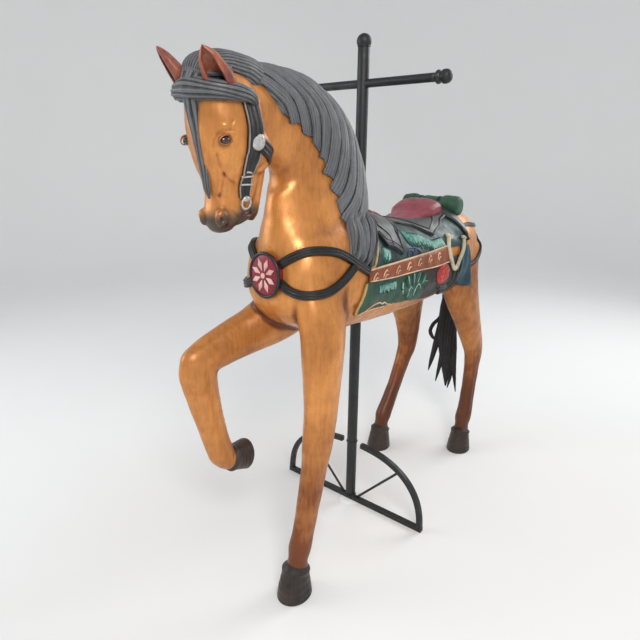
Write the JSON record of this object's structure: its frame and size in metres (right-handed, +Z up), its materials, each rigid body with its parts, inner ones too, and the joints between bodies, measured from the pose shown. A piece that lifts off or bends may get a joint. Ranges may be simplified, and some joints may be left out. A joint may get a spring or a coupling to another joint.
{
  "type": "carousel horse on a stand",
  "caption": "Carved and painted carousel horse prancing with one foreleg raised, on a black steel pole with a cross handle and an arched foot.",
  "frame": {"origin": "on the floor, in the middle of the foot bar's underside, on the pole's axis", "axes": "+Z up along the pole, the horse faces -Y and its left flank is +X"},
  "size_m": [0.676, 1.6236, 1.7695],
  "materials": {
    "carving": "gold-bronze paint over carved wood, darkened in the hollows",
    "hair": "loose black horsehair",
    "stand": "satin black"
  },
  "bodies": {
    "root": {"horse": "carving", "tail": "hair", "pole": "stand", "pole_ball": "stand", "handle_bar": "stand", "handle_knob_left": "stand", "handle_knob_right": "stand", "foot_bar": "stand", "foot_arch_left": "stand", "foot_arch_right": "stand", "foot_spoke_left": "stand", "foot_spoke_right": "stand"}
  },
  "joints": []
}
